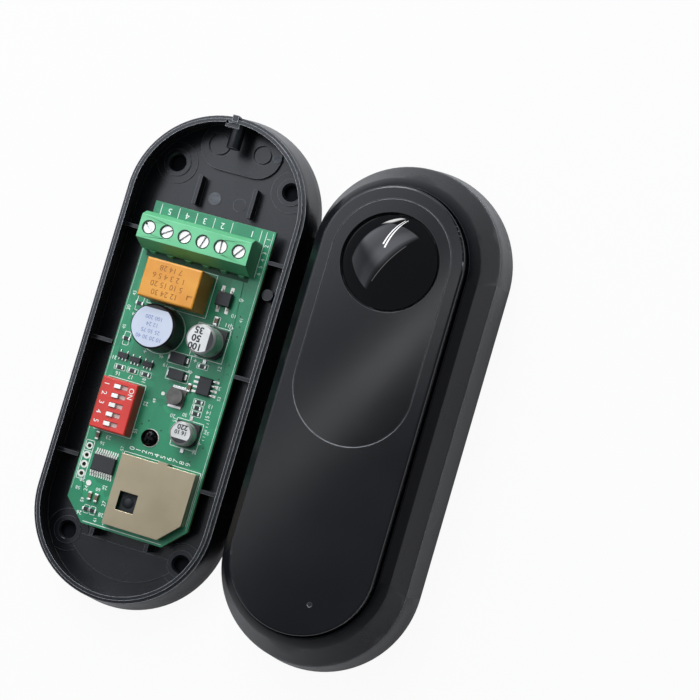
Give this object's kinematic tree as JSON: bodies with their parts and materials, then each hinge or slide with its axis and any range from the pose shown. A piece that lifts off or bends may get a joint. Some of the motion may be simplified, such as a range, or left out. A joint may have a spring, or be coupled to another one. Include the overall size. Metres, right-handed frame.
{
  "type": "door safety photocell pair",
  "caption": "Pair of obround black photocells for a door or gate: an opened receiver with its circuit board and screw terminals, and a closed emitter with a domed lens.",
  "frame": {"origin": "middle of the pair on the surface that both backs rest on", "axes": "+X from the opened receiver to the closed emitter, +Y along both housings towards the receiver's cable end and the emitter's lens end, +Z out of the fronts"},
  "size_m": [0.1068, 0.1368, 0.0353],
  "materials": {
    "board_green": "solder mask on glass laminate",
    "can_aluminium": "bright",
    "ceramic_tan": "fired",
    "clamp_nickel": "nickel plated",
    "diode_violet": "clear tinted resin",
    "ferrite_grey": "fired",
    "housing_black": "satin black ABS",
    "lens_black": "high gloss, passes infrared only",
    "light_pipe_clear": "polished clear acrylic",
    "pin_tin": "tinned",
    "plate_black": "gloss",
    "relay_orange": "satin",
    "resin_black": "moulded",
    "resistor_black": "glazed",
    "screw_black": "black oxide",
    "screw_zinc": "zinc plated",
    "seal_white": "paper film",
    "sensor_dark": "clear dark resin",
    "shield_tin": "tinned sheet",
    "slider_white": "satin",
    "switch_red": "satin",
    "terminal_green": "satin",
    "window_black": "gloss, passes infrared only"
  },
  "bodies": {
    "receiver": {"buzzer_body": "resin_black", "buzzer_seal": "seal_white", "chip_capacitors": "ceramic_tan", "chip_leads": "pin_tin", "chip_resistors": "resistor_black", "comparator": "resin_black", "diodes": "resin_black", "dip_switch_housing": "switch_red", "dip_switch_pins": "pin_tin", "inductor": "ferrite_grey", "ir_receiver": "sensor_dark", "large_capacitor_base": "resin_black", "large_capacitor_can": "can_aluminium", "microcontroller": "resin_black", "optocoupler": "resin_black", "receiver_board_screw": "screw_black", "receiver_circuit_board": "board_green", "receiver_rear_shell": "housing_black", "relay_case": "relay_orange", "relay_pins": "pin_tin", "shield_can": "shield_tin", "small_capacitor_base": "resin_black", "small_capacitor_can": "can_aluminium", "terminal_block": "terminal_green", "terminal_pins": "pin_tin", "transistors": "resin_black"},
    "dip_slider_1": {"dip_slider_1": "slider_white"},
    "dip_slider_2": {"dip_slider_2": "slider_white"},
    "dip_slider_3": {"dip_slider_3": "slider_white"},
    "dip_slider_4": {"dip_slider_4": "slider_white"},
    "dip_slider_5": {"dip_slider_5": "slider_white"},
    "emitter": {"emitter_board_screw": "screw_black", "emitter_circuit_board": "board_green", "emitter_diode": "diode_violet", "emitter_driver_parts": "resin_black", "emitter_rear_shell": "housing_black", "emitter_terminal_block": "terminal_green", "emitter_terminal_pins": "pin_tin"},
    "emitter_terminal_clamp_1": {"emitter_terminal_clamp_1": "clamp_nickel"},
    "emitter_terminal_clamp_2": {"emitter_terminal_clamp_2": "clamp_nickel"},
    "emitter_terminal_screw_1": {"emitter_terminal_screw_1": "screw_zinc"},
    "emitter_terminal_screw_2": {"emitter_terminal_screw_2": "screw_zinc"},
    "front": {"face_plate": "plate_black", "front_cover": "housing_black", "indicator_light_pipe": "light_pipe_clear", "lens_dome": "lens_black", "window_panel": "window_black"},
    "terminal_clamp_1": {"terminal_clamp_1": "clamp_nickel"},
    "terminal_clamp_2": {"terminal_clamp_2": "clamp_nickel"},
    "terminal_clamp_3": {"terminal_clamp_3": "clamp_nickel"},
    "terminal_clamp_4": {"terminal_clamp_4": "clamp_nickel"},
    "terminal_clamp_5": {"terminal_clamp_5": "clamp_nickel"},
    "terminal_clamp_6": {"terminal_clamp_6": "clamp_nickel"},
    "terminal_screw_1": {"terminal_screw_1": "screw_zinc"},
    "terminal_screw_2": {"terminal_screw_2": "screw_zinc"},
    "terminal_screw_3": {"terminal_screw_3": "screw_zinc"},
    "terminal_screw_4": {"terminal_screw_4": "screw_zinc"},
    "terminal_screw_5": {"terminal_screw_5": "screw_zinc"},
    "terminal_screw_6": {"terminal_screw_6": "screw_zinc"}
  },
  "joints": [
    {"name": "terminal_screw_1_turn", "type": "hinge", "parent": "receiver", "child": "terminal_screw_1", "pos_m": [-0.0405, 0.0315, 0.0182], "axis": [0, 0, -1], "range_deg": [0, 1080]},
    {"name": "terminal_clamp_1_rise", "type": "slide", "parent": "receiver", "child": "terminal_clamp_1", "axis": [0, 0, 1], "range_m": [0, 0.0015]},
    {"name": "terminal_screw_2_turn", "type": "hinge", "parent": "receiver", "child": "terminal_screw_2", "pos_m": [-0.03542, 0.0315, 0.0182], "axis": [0, 0, -1], "range_deg": [0, 1080]},
    {"name": "terminal_clamp_2_rise", "type": "slide", "parent": "receiver", "child": "terminal_clamp_2", "axis": [0, 0, 1], "range_m": [0, 0.0015]},
    {"name": "terminal_screw_3_turn", "type": "hinge", "parent": "receiver", "child": "terminal_screw_3", "pos_m": [-0.03034, 0.0315, 0.0182], "axis": [0, 0, -1], "range_deg": [0, 1080]},
    {"name": "terminal_clamp_3_rise", "type": "slide", "parent": "receiver", "child": "terminal_clamp_3", "axis": [0, 0, 1], "range_m": [0, 0.0015]},
    {"name": "terminal_screw_4_turn", "type": "hinge", "parent": "receiver", "child": "terminal_screw_4", "pos_m": [-0.02526, 0.0315, 0.0182], "axis": [0, 0, -1], "range_deg": [0, 1080]},
    {"name": "terminal_clamp_4_rise", "type": "slide", "parent": "receiver", "child": "terminal_clamp_4", "axis": [0, 0, 1], "range_m": [0, 0.0015]},
    {"name": "terminal_screw_5_turn", "type": "hinge", "parent": "receiver", "child": "terminal_screw_5", "pos_m": [-0.02018, 0.0315, 0.0182], "axis": [0, 0, -1], "range_deg": [0, 1080]},
    {"name": "terminal_clamp_5_rise", "type": "slide", "parent": "receiver", "child": "terminal_clamp_5", "axis": [0, 0, 1], "range_m": [0, 0.0015]},
    {"name": "terminal_screw_6_turn", "type": "hinge", "parent": "receiver", "child": "terminal_screw_6", "pos_m": [-0.0151, 0.0315, 0.0182], "axis": [0, 0, -1], "range_deg": [0, 1080]},
    {"name": "terminal_clamp_6_rise", "type": "slide", "parent": "receiver", "child": "terminal_clamp_6", "axis": [0, 0, 1], "range_m": [0, 0.0015]},
    {"name": "emitter_terminal_screw_1_turn", "type": "hinge", "parent": "emitter", "child": "emitter_terminal_screw_1", "pos_m": [0.02934, -0.0315, 0.0182], "axis": [0, 0, -1], "range_deg": [0, 1080]},
    {"name": "emitter_terminal_clamp_1_rise", "type": "slide", "parent": "emitter", "child": "emitter_terminal_clamp_1", "axis": [0, 0, 1], "range_m": [0, 0.0015]},
    {"name": "emitter_terminal_screw_2_turn", "type": "hinge", "parent": "emitter", "child": "emitter_terminal_screw_2", "pos_m": [0.02426, -0.0315, 0.0182], "axis": [0, 0, -1], "range_deg": [0, 1080]},
    {"name": "emitter_terminal_clamp_2_rise", "type": "slide", "parent": "emitter", "child": "emitter_terminal_clamp_2", "axis": [0, 0, 1], "range_m": [0, 0.0015]},
    {"name": "dip_slider_1_slide", "type": "slide", "parent": "receiver", "child": "dip_slider_1", "axis": [1, 0, 0], "range_m": [0, 0.0018]},
    {"name": "dip_slider_2_slide", "type": "slide", "parent": "receiver", "child": "dip_slider_2", "axis": [1, 0, 0], "range_m": [0, 0.0018]},
    {"name": "dip_slider_3_slide", "type": "slide", "parent": "receiver", "child": "dip_slider_3", "axis": [1, 0, 0], "range_m": [0, 0.0018]},
    {"name": "dip_slider_4_slide", "type": "slide", "parent": "receiver", "child": "dip_slider_4", "axis": [1, 0, 0], "range_m": [0, 0.0018]},
    {"name": "dip_slider_5_slide", "type": "slide", "parent": "receiver", "child": "dip_slider_5", "axis": [1, 0, 0], "range_m": [0, 0.0018]},
    {"name": "front_lift", "type": "slide", "parent": "emitter", "child": "front", "axis": [0, 0, 1], "range_m": [0, 0.03]},
    {"name": "emitter_shift", "type": "slide", "parent": "receiver", "child": "emitter", "axis": [1, 0, 0], "range_m": [0, 0.06]}
  ],
  "couplings": [
    {"joint": "terminal_screw_1_turn", "follows": "terminal_clamp_1_rise", "rad_per_m": 12566},
    {"joint": "terminal_screw_2_turn", "follows": "terminal_clamp_2_rise", "rad_per_m": 12566},
    {"joint": "terminal_screw_3_turn", "follows": "terminal_clamp_3_rise", "rad_per_m": 12566},
    {"joint": "terminal_screw_4_turn", "follows": "terminal_clamp_4_rise", "rad_per_m": 12566},
    {"joint": "terminal_screw_5_turn", "follows": "terminal_clamp_5_rise", "rad_per_m": 12566},
    {"joint": "terminal_screw_6_turn", "follows": "terminal_clamp_6_rise", "rad_per_m": 12566},
    {"joint": "emitter_terminal_screw_1_turn", "follows": "emitter_terminal_clamp_1_rise", "rad_per_m": 12566},
    {"joint": "emitter_terminal_screw_2_turn", "follows": "emitter_terminal_clamp_2_rise", "rad_per_m": 12566}
  ]
}
